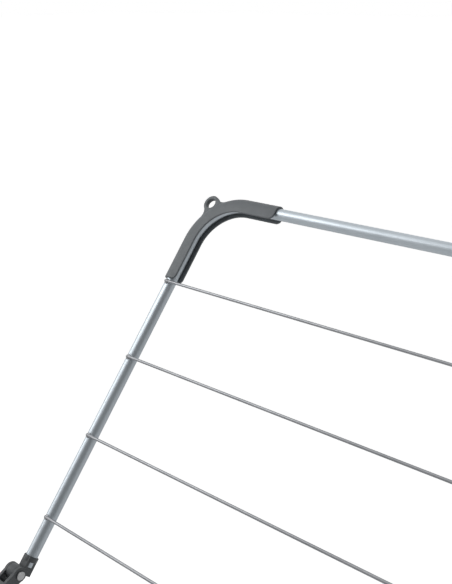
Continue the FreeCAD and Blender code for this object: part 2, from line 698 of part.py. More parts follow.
def crossing_hardware():
    """Rivets through both leg frames where they cross, and a bush between the frames."""
    reach = size("leg_side") + size("leg_tube") / 2 + size("fork_gap")
    reach_text = "@leg_side + @leg_tube / 2 + @fork_gap"
    bush = 2 * (size("leg_side") - size("leg_tube") / 2 - size("fork_gap"))
    bush_text = "2 * (@leg_side - @leg_tube / 2 - @fork_gap)"
    height = PIVOT_HEIGHT - size("leg_cross") * math.sin(LEG_TILT)
    rivets = []
    bushes = []
    for side_name, sign in SIDES:
        centre = FreeCAD.Vector(0, sign * size("half_width"), height)
        rivets.append(rivet("crossing_rivet_" + side_name, centre, -reach, reach,
                            "-(%s)" % reach_text, reach_text, (-1, 1)))
        name = "crossing_bush_" + side_name
        outer = rod(name + "_outer", Y_AXIS, "@leg_tube / 2", bush_text, bush, centre)
        inner = rod(name + "_bore", Y_AXIS, "@pin / 2 + @pin_fit", bush_text, bush, centre)
        bushes.append(less(name, outer, inner))
    group("crossing_rivets", rivets)
    group("crossing_bushes", bushes)


def end_plugs(label, place, half):
    """Plugs in the two open top ends of a leg frame."""
    cap = size("plug_cap")
    deep = size("plug_deep")
    start = -size("leg_over")
    vector = FreeCAD.Vector
    plugs = []
    for side_name, sign in SIDES:
        name = label + "_" + side_name
        disc = rod(name + "_cap", X_AXIS, "@leg_tube / 2", "@plug_cap", cap,
                   vector(start - cap / 2, sign * half, 0))
        stem = rod(name + "_stem", X_AXIS, "@leg_tube / 2 - @tube_wall - @pin_fit", "@plug_deep", deep,
                   vector(start + deep / 2, sign * half, 0))
        plugs.append(union(name, [disc, stem]))
    group(label, plugs, place)


def foot(label, x, y):
    """A rubber foot round the bottom bar of a leg frame, with a flat sole on the floor."""
    wide = size("foot_width")
    long = size("foot_long")
    centre = FreeCAD.Vector(x, y, BAR_HEIGHT)
    shell = rod(label + "_shell", Y_AXIS, "@leg_tube / 2 + @foot_wall", "@foot_width", wide, centre)
    sole = box(label + "_sole", (long, wide, BAR_HEIGHT / 2),
               ("@foot_long", "@foot_width", "(@leg_tube / 2 + @foot_sole) / 2"),
               (x, y, BAR_HEIGHT / 4))
    bore = rod(label + "_bore", Y_AXIS, "@leg_tube / 2 + @pin_fit", "2 * @foot_width", 2 * wide,
               centre)
    under = box(label + "_under", (2 * long, 2 * wide, 2 * BAR_HEIGHT),
                ("2 * @foot_long", "2 * @foot_width", "@leg_tube + 2 * @foot_sole"),
                (x, y, -BAR_HEIGHT))
    cuts = union(label + "_cuts", [bore, under])
    keep(less(label, union(label + "_solid", [shell, sole]), cuts), label)


def clamp_knob(label, x, y):
    """A two-winged knob under a slider shoe; its screw bears on the rack tube."""
    base = size("rack_height") - size("saddle_base") - size("fork_gap")
    top = size("rack_height") - size("frame_tube") / 2 - size("saddle_fit") / 2
    thick = size("knob_thick")
    radius = size("knob_radius")
    vector = FreeCAD.Vector
    hub = rod(label + "_hub", Z_AXIS, "@knob_hub", "@knob_thick", thick,
              vector(x, y, base - thick / 2))
    wings = box(label + "_wings", (2 * radius, size("knob_hub"), thick),
                ("2 * @knob_radius", "@knob_hub", "@knob_thick"), (x, y, base - thick / 2))
    screw = rod(label + "_screw", Z_AXIS, "@screw / 2",
                "@saddle_base + @fork_gap - @frame_tube / 2 - @saddle_fit / 2", top - base,
                vector(x, y, (top + base) / 2))
    keep(union(label, [hub, wings, screw]), label)


# ---- assembly ----------------------------------------------------------------------------------

def build_rack():
    for side_name, sign in SIDES:
        rack_side_tube("rack_side_tube_" + side_name, sign * size("half_width"))
    for end_name, spin in ENDS:
        coped_tube("rack_cross_tube_" + end_name, turn(Z_AXIS, spin) * RACK, CROSS_AT,
                   size("half_width"), "@half_width", "frame_tube")
    spacing = 2 * CROSS_AT / (RACK_WIRES + 1)
    for number in range(RACK_WIRES):
        x = -CROSS_AT + spacing * (number + 1)
        drying_wire("rack_wire_%d" % (number + 1), RACK, x, WIRE_RISE)


def build_wing(end_name, spin):
    place = wing_place(spin)
    wing_tube("wing_tube_" + end_name, place)
    for number in range(WING_WIRES):
        x = size("wing_reach") - size("first_wire") - number * WIRE_PITCH
        drying_wire("wing_wire_%s_%d" % (end_name, number + 1), place, x,
                    WIRE_RISE - size("hinge_rise"))
    for side_name, sign in SIDES:
        corner_clip("corner_clip_%s_%s" % (end_name, side_name), place, sign)
    wing_hinges(end_name, spin)


def build_leg(name, spin, side):
    place = leg_place(spin)
    half = size("half_width") + side * size("leg_side")
    half_text = "@half_width + @leg_side" if side > 0 else "@half_width - @leg_side"
    leg_tube("leg_frame_" + name, place, side)
    coped_tube("leg_brace_" + name, place, size("brace_at"), half, half_text, "leg_tube")
    end_plugs("leg_plugs_" + name, place, half)
    bar = (LEG_LENGTH * math.cos(LEG_TILT) - PIVOT_AT) * (1 if spin == 0 else -1)
    for side_name, sign in SIDES:
        foot("foot_%s_%s" % (name, side_name), bar, sign * (half - size("foot_in")))


def build_sliders():
    for side_name, sign in SIDES:
        y = sign * size("half_width")
        saddle("leg_bracket_" + side_name, -PIVOT_AT, y, "bracket_fit")
        saddle("slider_shoe_" + side_name, PIVOT_AT, y, "saddle_fit")
        clamp_knob("clamp_knob_" + side_name, PIVOT_AT + size("knob_at"), y)
    leg_pins("bracket_pins", -PIVOT_AT, 1)
    leg_pins("slider_pins", PIVOT_AT, -1)


def check_and_write():
    """Stop on any failed object or bad shape, then write one STEP file per sub-part."""
    doc.recompute()
    for item in doc.Objects:
        if "Invalid" in item.State or "Error" in item.State:
            raise RuntimeError("%s failed: %s" % (item.Label, item.State))
    for item in parts:
        if item.Shape.isNull() or not item.Shape.isValid():
            raise RuntimeError("%s has a bad shape" % item.Label)
    os.makedirs("parts", exist_ok=True)
    for item in parts:
        item.Shape.exportStep(os.path.join("parts", item.Label + ".step"))
    print("%d sub-parts written" % len(parts))


build_rack()
for end, half_turn in ENDS:
    build_wing(end, half_turn)
build_leg("outer", 0.0, 1)
build_leg("inner", 180.0, -1)
crossing_hardware()
build_sliders()
check_and_write()
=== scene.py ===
import json
import math

import bmesh
import bpy
from mathutils import Matrix, Vector


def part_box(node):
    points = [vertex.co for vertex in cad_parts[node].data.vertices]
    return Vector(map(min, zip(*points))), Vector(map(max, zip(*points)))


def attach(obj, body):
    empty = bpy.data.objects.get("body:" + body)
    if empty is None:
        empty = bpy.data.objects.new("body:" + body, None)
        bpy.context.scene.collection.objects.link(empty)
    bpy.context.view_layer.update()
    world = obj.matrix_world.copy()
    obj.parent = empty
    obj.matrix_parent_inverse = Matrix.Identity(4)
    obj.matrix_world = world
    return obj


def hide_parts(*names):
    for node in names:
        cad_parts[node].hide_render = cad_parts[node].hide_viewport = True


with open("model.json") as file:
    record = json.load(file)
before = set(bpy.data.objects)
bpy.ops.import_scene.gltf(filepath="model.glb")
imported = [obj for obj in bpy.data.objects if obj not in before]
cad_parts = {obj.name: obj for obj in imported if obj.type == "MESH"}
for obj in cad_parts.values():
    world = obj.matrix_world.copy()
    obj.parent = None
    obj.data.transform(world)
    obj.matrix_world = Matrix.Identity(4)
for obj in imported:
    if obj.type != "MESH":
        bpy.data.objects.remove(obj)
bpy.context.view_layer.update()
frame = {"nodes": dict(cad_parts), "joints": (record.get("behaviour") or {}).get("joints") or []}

# A folding clothes airer with two raised wings. Everything is in metres, in the frame's own axes:
# X from wing to wing, Y along the drying wires, Z up from the floor.

JOINTS = {joint["name"]: joint for joint in frame["joints"]}
ENDS = (("east", 0.0), ("west", math.pi))
SIDES = (("north", 1), ("south", -1))
UP = Vector((0, 0, 1))
UNMOVED = Matrix.Identity(4)

# tubes
FRAME_TUBE = 0.014
LEG_TUBE = 0.016
TUBE_WALL = 0.001
BORE_LENGTH = 0.012        # bore wall at an open tube end; see the fault noted in open_ends
AROUND = 48                # points round a tube
BEND_STEPS = 28            # steps round a quarter bend
ARM_STEPS = 12             # steps along a bent tube's arm
BEAD_RADIUS = 0.0013       # weld bead round a cross tube's end
BEAD_PROUD = 0.0002        # its middle line, outside the tube's surface
BEAD_AROUND = 10

# wires
WIRE = 0.0035
WIRE_PAST = 0.0015         # wire end past the side tube's axis
WIRE_EDGE = 0.0005         # rounding of a wire's end
WIRE_AROUND = 24
NUGGET = (0.0034, 0.0030, 0.0013)    # half sizes of the weld that holds a wire
NUGGET_RISE = 0.0002       # its middle, above the wire's underside

# wings
WING_REACH = 0.490
WING_BEND = 0.057
WING_RAISE = math.radians(50)
WING_WIRES = 4
HINGE_RISE = 0.012
EYE_OFFSET = 0.022
FIRST_WIRE = 0.117
WIRE_PITCH = 0.102

# rack and legs
RACK_WIRES = 8
LEG_ANGLE = math.radians(55)
LEG_BEND = 0.060
LEG_OVER = 0.014           # leg tube past its top pivot
LEG_SIDE = 0.020           # leg axis beside the rack side tube's axis
BRACE_AT = 0.900           # brace below the top pivot, along the leg
BAR_HEIGHT = 0.012         # middle of a leg's floor bar above the floor

# corner clips
CLIP_SIDE_ARM = 0.112
CLIP_END_ARM = 0.107
CLIP_FIT = 0.0002
CLIP_WALL = 0.0023
CLIP_EDGE = 0.0006         # rounding of its edges
FRONT_FLANGE = 0.011
BACK_FLANGE = 0.009
FLANGE_ROUND = 0.006       # rounding of a flange's corner, seen from the side
RUN_STEPS = 80             # steps along a clip
TURN_STEPS = 32            # steps half way round its tube
LIP_STEPS = 4
EYELET_INSET = 0.0055
EYELET_RISE = 0.003
EYELET_RADIUS = 0.0105
EYELET_HOLE = 0.0062
EYELET_THICK = 0.006
EYELET_RIM = 0.0009        # rounding of the plate's rims
EYELET_FLANK = 0.012
EYELET_DIP = 0.0015        # flank ends below the clip's outer face
EYELET_SINK = 0.8 * CLIP_WALL
FLANK_STEPS = 16
RING_STEPS = 48

MERGE = 0.00001            # points closer than this are one

# Studio light: grey levels from the bright side round to the dim side, and where the dim side is.
DIM_SIDE = (-0.70, -0.64, 0.30)
STUDIO_STOPS = ((0.0, 0.80), (0.45, 0.66), (0.65, 0.40), (0.85, 0.21), (1.0, 0.17))


def middle(node):
    low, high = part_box(node)
    return (low + high) / 2


HALF_WIDTH = middle("rack_side_tube_north").y
RACK_HEIGHT = middle("rack_side_tube_north").z
HINGE = Vector(JOINTS["wing_east_tilt"]["pos_m"])
LEG_PIVOT = Vector(JOINTS["leg_fold"]["pos_m"])
LEG_LENGTH = (LEG_PIVOT.z - BAR_HEIGHT) / math.sin(LEG_ANGLE)
TUBE_TO_WIRE = (FRAME_TUBE + WIRE) / 2


def wing_place(spin):
    """A wing's frame: origin on the hinge axis, X out along the wing, Z square to it."""
    turn = Matrix.Rotation(spin, 4, "Z")
    return turn @ Matrix.Translation(HINGE) @ Matrix.Rotation(-WING_RAISE, 4, "Y")


def leg_place(spin):
    """A leg frame's own frame: origin at its top pivot, X down along the leg."""
    turn = Matrix.Rotation(spin, 4, "Z")
    return turn @ Matrix.Translation(LEG_PIVOT) @ Matrix.Rotation(LEG_ANGLE, 4, "Y")


# ---- materials -----------------------------------------------------------------------------------

def fill_ramp(ramp, stops):
    """Set a colour ramp's stops from pairs of position and colour."""
    elements = ramp.color_ramp.elements
    while len(elements) < len(stops):
        elements.new(0.5)
    for element, (position, colour) in zip(elements, stops):
        element.position = position
        element.color = (*colour, 1.0)


class Shader:
    """A Principled material with a few helpers for procedural detail."""

    def __init__(self, name, **values):
        self.material = bpy.data.materials.new(name)
        self.material.use_nodes = True
        self.nodes = self.material.node_tree.nodes
        self.links = self.material.node_tree.links
        self.surface = self.nodes["Principled BSDF"]
        self.place = self.nodes.new("ShaderNodeTexCoord").outputs["Object"]
        for socket, value in values.items():
            self.surface.inputs[socket.replace("_", " ")].default_value = value

    def stretched(self, scale):
        mapping = self.nodes.new("ShaderNodeMapping")
        mapping.inputs["Scale"].default_value = scale
        self.links.new(self.place, mapping.inputs["Vector"])
        return mapping.outputs["Vector"]

    def noise(self, scale, detail=3.0, roughness=0.55, source=None):
        texture = self.nodes.new("ShaderNodeTexNoise")
        texture.inputs["Scale"].default_value = scale
        texture.inputs["Detail"].default_value = detail
        texture.inputs["Roughness"].default_value = roughness
        self.links.new(source or self.place, texture.inputs["Vector"])
        return texture.outputs["Fac"]

    def cells(self, scale):
        texture = self.nodes.new("ShaderNodeTexVoronoi")
        texture.inputs["Scale"].default_value = scale
        self.links.new(self.place, texture.inputs["Vector"])
        return texture.outputs["Distance"]

    def spread(self, value, low, high, start=0.3, stop=0.7):
        remap = self.nodes.new("ShaderNodeMapRange")
        for name, number in (("From Min", start), ("From Max", stop),
                             ("To Min", low), ("To Max", high)):
            remap.inputs[name].default_value = number
        self.links.new(value, remap.inputs["Value"])
        return remap.outputs["Result"]

    def colours(self, value, stops):
        ramp = self.nodes.new("ShaderNodeValToRGB")
        fill_ramp(ramp, stops)
        self.links.new(value, ramp.inputs["Fac"])
        self.links.new(ramp.outputs["Color"], self.surface.inputs["Base Color"])

    def roughness(self, value):
        self.links.new(value, self.surface.inputs["Roughness"])

    def bumps(self, layers):
        """Stack bump layers of (height, distance, strength)."""
        normal = None
        for height, distance, strength in layers:
            bump = self.nodes.new("ShaderNodeBump")
            bump.inputs["Distance"].default_value = distance
            bump.inputs["Strength"].default_value = strength
            self.links.new(height, bump.inputs["Height"])
            if normal is not None:
                self.links.new(normal, bump.inputs["Normal"])
            normal = bump.outputs["Normal"]
        self.links.new(normal, self.surface.inputs["Normal"])


def coated_tube():
    """Satin silver-grey lacquer over steel, with a faint orange peel and light scuffs."""
    shader = Shader("coated_tube", Metallic=0.8, Coat_Weight=0.1, Coat_Roughness=0.25)
    cloud = shader.noise(14.0, 4.0)
    shader.colours(cloud, ((0.3, (0.61, 0.67, 0.72)), (0.7, (0.67, 0.73, 0.78))))
    scuffs = shader.noise(260.0, 6.0, 0.7)
    shader.roughness(shader.spread(scuffs, 0.36, 0.46))
    peel = shader.noise(900.0, 2.0)
    shader.bumps(((peel, 0.00005, 0.10), (scuffs, 0.00004, 0.06)))
    return shader.material


def drawn_wire():
    """Drawn steel wire with fine lines along its length."""
    shader = Shader("drawn_wire", Metallic=0.8)
    lines = shader.noise(1.0, 4.0, 0.6, shader.stretched((2400.0, 14.0, 2400.0)))
    cloud = shader.noise(30.0, 3.0)
    shader.colours(cloud, ((0.3, (0.36, 0.37, 0.39)), (0.7, (0.44, 0.45, 0.47))))
    shader.roughness(shader.spread(lines, 0.28, 0.42))
    shader.bumps(((lines, 0.00006, 0.25),))
    return shader.material


def grained_plastic(name, dark, light, low=0.38, high=0.52):
    """Moulded plastic with a fine spark-eroded grain."""
    shader = Shader(name, Specular_IOR_Level=0.45)
    grain = shader.cells(1500.0)
    cloud = shader.noise(45.0, 5.0, 0.6)
    shader.colours(cloud, ((0.3, dark), (0.7, light)))
    rub = shader.noise(120.0, 6.0, 0.7)
    shader.roughness(shader.spread(rub, low, high))
    shader.bumps(((grain, 0.0002, 0.35), (shader.noise(700.0, 3.0), 0.00015, 0.25)))
    return shader.material


def foot_rubber():
    """Matt black rubber with pale dust in its texture."""
    shader = Shader("foot_rubber", Specular_IOR_Level=0.25)
    dust = shader.noise(60.0, 8.0, 0.7)
    shader.colours(dust, ((0.35, (0.018, 0.018, 0.019)), (0.75, (0.070, 0.068, 0.064))))
    shader.roughness(shader.spread(dust, 0.72, 0.92))
    shader.bumps(((shader.cells(700.0), 0.0003, 0.4), (dust, 0.0002, 0.3)))
    return shader.material


def rivet_steel():
    """Zinc-plated steel, mottled and slightly worn."""
    shader = Shader("rivet_steel", Metallic=1.0)
    spangle = shader.cells(420.0)
    shader.colours(spangle, ((0.1, (0.52, 0.53, 0.54)), (0.8, (0.66, 0.67, 0.68))))
    shader.roughness(shader.spread(shader.noise(300.0, 5.0), 0.26, 0.46))
    shader.bumps(((shader.noise(800.0, 3.0), 0.00008, 0.25),))
    return shader.material


TUBE_COAT = coated_tube()
WIRE_STEEL = drawn_wire()
CLIP_PLASTIC = grained_plastic("clip_plastic", (0.142, 0.157, 0.168), (0.172, 0.188, 0.200))
HINGE_PLASTIC = grained_plastic("hinge_plastic", (0.090, 0.098, 0.104), (0.118, 0.127, 0.134))
KNOB_PLASTIC = grained_plastic("knob_plastic", (0.150, 0.156, 0.160), (0.190, 0.196, 0.200),
                               0.3, 0.44)
RUBBER = foot_rubber()
RIVET = rivet_steel()


# ---- mesh helpers --------------------------------------------------------------------------------

def add_piece(name, mesh, material, body):
    """Put a finished mesh in the scene in place of a CAD node, riding on a body."""
    piece = bpy.data.objects.new("visual_" + name, mesh)
    bpy.context.scene.collection.objects.link(piece)
    mesh.materials.clear()
    mesh.materials.append(material)
    for polygon in mesh.polygons:
        polygon.use_smooth = True
    mesh.set_sharp_from_angle(angle=math.radians(40))
    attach(piece, body)
    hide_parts(name)


def finish_bmesh(shape, name, place=UNMOVED):
    """Turn a bmesh into a mesh at its place, with its normals outwards."""
    bmesh.ops.recalc_face_normals(shape, faces=shape.faces)
    shape.transform(place)
    mesh = bpy.data.meshes.new(name)
    shape.to_mesh(mesh)
    shape.free()
    return mesh


def skin(shape, rings, closed_ends=True):
    """Join rings of points into a tube of quads."""
    rows = [[shape.verts.new(point) for point in points] for points in rings]
    for row, after in zip(rows, rows[1:]):
        count = len(row)
        for index in range(count):
            beside = (index + 1) % count
            shape.faces.new((row[index], row[beside], after[beside], after[index]))
    if closed_ends:
        shape.faces.new(rows[0])
        shape.faces.new(rows[-1])
    return rows


def circle_ring(centre, out, up, radius, count=AROUND):
    """Points on a circle, from its outward direction towards its upward one."""
    points = []
    for index in range(count):
        angle = 2 * math.pi * index / count
        points.append(centre + (out * math.cos(angle) + up * math.sin(angle)) * radius)
    return points


def u_stations(start, reach, half, bend):
    """Points and outward directions along a U: arm, bend, end bar, bend, arm."""
    stations = []
    far = reach - bend
    flat = half - bend
    arm = [far - (far - start) * step / ARM_STEPS for step in range(1, ARM_STEPS + 1)]
    for x in reversed(arm):
        stations.append((Vector((x, -half, 0)), Vector((0, -1, 0))))
    for centre, first in ((Vector((far, -flat, 0)), -math.pi / 2), (Vector((far, flat, 0)), 0.0)):
        for step in range(BEND_STEPS + 1):
            angle = first + math.pi / 2 * step / BEND_STEPS
            out = Vector((math.cos(angle), math.sin(angle), 0))
            stations.append((centre + out * bend, out))
    for x in arm:
        stations.append((Vector((x, half, 0)), Vector((0, 1, 0))))
    return stations


def open_ends(shape, rows):
    """Give a tube's closed ends a wall ring and the wall of a bore.

    Known fault: the extrusion turns the old cap round, so the bore's wall stands out past the
    tube's end by BORE_LENGTH when it ought to go into the tube.
    """
    for row in (rows[0], rows[-1]):
        cap = next(face for face in row[0].link_faces if len(face.verts) == len(row))
        bmesh.ops.inset_region(shape, faces=[cap], thickness=TUBE_WALL, use_even_offset=True)
        bore = bmesh.ops.extrude_face_region(shape, geom=[cap])
        inner = [item for item in bore["geom"] if isinstance(item, bmesh.types.BMVert)]
        bmesh.ops.translate(shape, verts=inner, vec=-cap.normal * BORE_LENGTH)
        bmesh.ops.delete(shape, geom=[cap], context="FACES_ONLY")


def open_tube(name, rings, place, body):
    """A coated tube through rings of points, with its ends cut square and open."""
    shape = bmesh.new()
    rows = skin(shape, rings)
    bmesh.ops.recalc_face_normals(shape, faces=shape.faces)
    open_ends(shape, rows)
    add_piece(name, finish_bmesh(shape, name, place), TUBE_COAT, body)


def bent_tube(name, place, start, reach, half, bend, diameter, body):
    """A tube bent into a U."""
    rings = [circle_ring(point, out, UP, diameter / 2)
             for point, out in u_stations(start, reach, half, bend)]
    open_tube(name, rings, place, body)


def side_tube(name, y):
    """A straight rack tube along X."""
    low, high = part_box(name)
    steps = 24
    rings = []
    for step in range(steps + 1):
        centre = Vector((low.x + (high.x - low.x) * step / steps, y, RACK_HEIGHT))
        rings.append(circle_ring(centre, Vector((0, 1, 0)), UP, FRAME_TUBE / 2))
    open_tube(name, rings, UNMOVED, "rack")


def coped_point(x, half, sign, radius, angle, proud=0.0):
    """A point of a cross tube's end, drawn back to sit round the side tube that it meets."""
    height = (radius + proud) * math.sin(angle)
    back = math.sqrt(max(radius ** 2 - height ** 2, 0.0))
    return Vector((x + (radius + proud) * math.cos(angle), sign * (half - back), height))


def weld_bead(x, half, sign, radius, angles):
    """Rings of a slightly uneven weld bead round a cross tube's end."""
    rings = []
    for index, angle in enumerate(angles):
        centre = coped_point(x, half, sign, radius, angle, BEAD_PROUD)
        out = Vector((math.cos(angle), 0, math.sin(angle)))
        ripple = 1 + 0.12 * math.sin(index * 2.1)
        rings.append(circle_ring(centre, out, Vector((0, 1, 0)), BEAD_RADIUS * ripple, BEAD_AROUND))
    return rings + rings[:1]


def cross_tube(name, place, x, half, diameter, body):
    """A straight tube along Y between two side tubes, with a weld bead round each end."""
    shape = bmesh.new()
    radius = diameter / 2
    angles = [2 * math.pi * index / AROUND for index in range(AROUND)]
    ends = [[coped_point(x, half, sign, radius, angle) for angle in angles] for sign in (-1, 1)]
    steps = 10
    skin(shape, [[low.lerp(high, step / steps) for low, high in zip(*ends)]
                 for step in range(steps + 1)])
    for sign in (-1, 1):
        skin(shape, weld_bead(x, half, sign, radius, angles), closed_ends=False)
    bmesh.ops.remove_doubles(shape, verts=shape.verts, dist=MERGE)
    add_piece(name, finish_bmesh(shape, name, place), TUBE_COAT, body)


def drying_wire(name, place, x, z, body):
    """A round wire with softened ends, fused to each side tube by a small weld nugget."""
    shape = bmesh.new()
    length = HALF_WIDTH + WIRE_PAST
    radius = WIRE / 2
    steps = 16
    edge = ((0.0, radius - WIRE_EDGE), (0.3 * WIRE_EDGE, radius - 0.4 * WIRE_EDGE),
            (WIRE_EDGE, radius))
    profile = [(-length + back, size) for back, size in edge]
    profile += [(-length + 2 * length * step / steps, radius) for step in range(1, steps)]
    profile += [(length - back, size) for back, size in reversed(edge)]
    skin(shape, [circle_ring(Vector((x, y, z)), Vector((1, 0, 0)), UP, size, WIRE_AROUND)
                 for y, size in profile])
    for sign in (-1, 1):
        at = Matrix.Translation((x, sign * HALF_WIDTH, z - radius + NUGGET_RISE))
        bmesh.ops.create_uvsphere(shape, u_segments=20, v_segments=12, radius=1.0,
                                  matrix=at @ Matrix.Diagonal((*NUGGET, 1.0)))
    add_piece(name, finish_bmesh(shape, name, place), WIRE_STEEL, body)


# ---- corner clip ---------------------------------------------------------------------------------

def eased(size, steps):
    """Distances from 0 to a size, close together at first."""
    return [size * (1 - math.cos(math.pi / 2 * step / steps)) for step in range(steps + 1)]


def clip_stations(first_arm, last_arm):
    """Points, outward directions and distances from the nearer end, along the tube's axis.

    The tube's two axes would meet at the origin; the first arm lies along -Y, the last along -X.
    """
    stations = []
    first_run = first_arm - WING_BEND
    curve = WING_BEND * math.pi / 2
    total = first_run + curve + last_arm - WING_BEND
    marks = eased(CLIP_EDGE, 4)[:-1] + [CLIP_EDGE + mark for mark in eased(FLANGE_ROUND, 8)]
    rounded = FLANGE_ROUND + CLIP_EDGE
    even = [rounded + (total - 2 * rounded) * step / RUN_STEPS for step in range(1, RUN_STEPS)]
    for mark in marks + even + [total - mark for mark in reversed(marks)]:
        if mark <= first_run:
            out = Vector((1, 0, 0))
            point = Vector((0, mark - first_arm, 0))
        elif mark >= first_run + curve:
            out = Vector((0, 1, 0))
            point = Vector((-(mark - first_run - curve) - WING_BEND, 0, 0))
        else:
            angle = (mark - first_run) / WING_BEND
            out = Vector((math.cos(angle), math.sin(angle), 0))
            point = Vector((-WING_BEND, -WING_BEND, 0)) + out * WING_BEND
        stations.append((point, out, min(mark, total - mark)))
    return stations


def drawn_in(size, from_end):
    """How far a rounding of this size draws an edge in, at a distance from the end."""
    depth = max(size - from_end, 0.0)
    return size - math.sqrt(max(size ** 2 - depth ** 2, 0.0))


def clip_loop(point, out, from_end):
    """The channel's closed outline at one station, thinner and shorter close to the end."""
    pinch = drawn_in(CLIP_EDGE, from_end)
    cut = drawn_in(FLANGE_ROUND, from_end)
    inner = FRAME_TUBE / 2 + CLIP_FIT + pinch
    outer = FRAME_TUBE / 2 + CLIP_FIT + CLIP_WALL - pinch
    soft = min(CLIP_EDGE, (outer - inner) / 2)

    def half_turn(radius, sign):
        """A face of the channel's back, from one flange round the tube to the other."""
        angles = [sign * (math.pi * step / TURN_STEPS - math.pi / 2)
                  for step in range(TURN_STEPS + 1)]
        return [(radius * math.cos(angle), radius * math.sin(angle)) for angle in angles]

    def lip(reach, sign):
        """The free edge of a flange, rounded a little, from its outer face to its inner face."""
        points = []
        for face, first in ((outer - soft, math.pi / 2), (inner + soft, 0.0)):
            for step in range(LIP_STEPS + 1):
                angle = first - math.pi / 2 * step / LIP_STEPS
                across = soft - reach - soft * math.cos(angle)
                points.append((across, sign * (face + soft * math.sin(angle))))
        return points

    outline = (half_turn(outer, 1) + lip(FRONT_FLANGE - cut, 1)
               + half_turn(inner, -1) + lip(BACK_FLANGE - cut, -1)[::-1])
    return [point + out * across + UP * height for across, height in outline]


def clip_channel(first_arm, last_arm):
    """The bent channel as a closed mesh."""
    shape = bmesh.new()
    skin(shape, [clip_loop(*station) for station in clip_stations(first_arm, last_arm)])
    return finish_bmesh(shape, "channel")


def arc_points(centre, radius, first, last, steps):
    """Points in a plane along an arc from one angle to another."""
    centre = Vector(centre)
    points = []
    for step in range(steps + 1):
        angle = first + (last - first) * step / steps
        points.append(centre + Vector((math.cos(angle), math.sin(angle))) * radius)
    return points


def eyelet_outline():
    """The eyelet's outer and hole outlines, with X along the corner's diagonal.

    It is a ring whose hollow flanks run into the clip's outer face.
    """
    outer = WING_BEND + FRAME_TUBE / 2 + CLIP_FIT + CLIP_WALL - EYELET_DIP
    bend_x = -WING_BEND * math.sqrt(2)
    ring_x = -EYELET_INSET * math.sqrt(2)
    apart = ring_x - bend_x
    to_bend = outer + EYELET_FLANK
    to_ring = EYELET_RADIUS + EYELET_FLANK
    flank_x = bend_x + (to_bend ** 2 - to_ring ** 2 + apart ** 2) / (2 * apart)
    flank_y = math.sqrt(to_bend ** 2 - (flank_x - bend_x) ** 2)
    at_clip = math.atan2(-flank_y, bend_x - flank_x)
    at_ring = math.atan2(-flank_y, ring_x - flank_x)
    upper = arc_points((flank_x, flank_y), EYELET_FLANK, at_ring, at_clip, FLANK_STEPS)
    lower = [Vector((point.x, -point.y)) for point in reversed(upper)]
    join = math.atan2(flank_y, flank_x - ring_x)
    ring = arc_points((ring_x, 0.0), EYELET_RADIUS, -join, join, RING_STEPS)[1:-1]
    sunk = Vector((-EYELET_SINK, 0.0))
    root = [upper[-1] + sunk, lower[0] + sunk]
    hole = arc_points((ring_x, 0.0), EYELET_HOLE, 0.0, 2 * math.pi, RING_STEPS)[:-1]
    return lower + ring + upper + root, hole


def eyelet_plate():
    """The eyelet as a flat plate with rounded rims, in the clip's own frame."""
    curve = bpy.data.curves.new("eyelet", "CURVE")
    curve.dimensions = "2D"
    curve.fill_mode = "BOTH"
    curve.extrude = EYELET_THICK / 2 - EYELET_RIM
    curve.bevel_depth = EYELET_RIM
    curve.bevel_resolution = 3
    curve.offset = -EYELET_RIM
    for points in eyelet_outline():
        spline = curve.splines.new("POLY")
        spline.points.add(len(points) - 1)
        for target, point in zip(spline.points, points):
            target.co = (point.x, point.y, 0.0, 1.0)
        spline.use_cyclic_u = True
    holder = bpy.data.objects.new("eyelet", curve)
    mesh = bpy.data.meshes.new_from_object(holder)
    bpy.data.objects.remove(holder)
    shape = bmesh.new()
    shape.from_mesh(mesh)
    bpy.data.meshes.remove(mesh)
    bmesh.ops.remove_doubles(shape, verts=shape.verts, dist=MERGE)
    place = Matrix.Translation((0, 0, EYELET_RISE)) @ Matrix.Rotation(math.pi / 4, 4, "Z")
    return finish_bmesh(shape, "eyelet", place)


def fused(mesh, other):
    """The exact union of two closed meshes."""
    base = bpy.data.objects.new("fuse_base", mesh)
    tool = bpy.data.objects.new("fuse_tool", other)
    for item in (base, tool):
        bpy.context.scene.collection.objects.link(item)
    union = base.modifiers.new("union", "BOOLEAN")
    union.operation = "UNION"
    union.solver = "EXACT"
    union.object = tool
    graph = bpy.context.evaluated_depsgraph_get()
    result = bpy.data.meshes.new_from_object(base.evaluated_get(graph))
    for item in (base, tool):
        bpy.data.objects.remove(item)
    return result


def corner_clip(mesh, end, side, sign, place):
    """A copy of a clip mesh at one corner of a wing."""
    name = "corner_clip_%s_%s" % (end, side)
    quarter = 0.0 if sign > 0 else -math.pi / 2
    corner = Matrix.Translation((WING_REACH, sign * HALF_WIDTH, -HINGE_RISE))
    own = mesh.copy()
    own.transform(place @ corner @ Matrix.Rotation(quarter, 4, "Z"))
    add_piece(name, own, CLIP_PLASTIC, "wing_" + end)


# ---- carried-over CAD pieces ---------------------------------------------------------------------

def dress(prefix, material, edge):
    """Give CAD nodes a material and softened edges."""
    for name, node in frame["nodes"].items():
        if not name.startswith(prefix):
            continue
        node.data.materials.clear()
        node.data.materials.append(material)
        weld = node.modifiers.new("weld", "WELD")
        weld.merge_threshold = 2 * MERGE
        bevel = node.modifiers.new("soft_edges", "BEVEL")
        bevel.width = edge
        bevel.segments = 3
        bevel.limit_method = "ANGLE"
        bevel.angle_limit = math.radians(35)
        bevel.harden_normals = False


# ---- assembly ------------------------------------------------------------------------------------

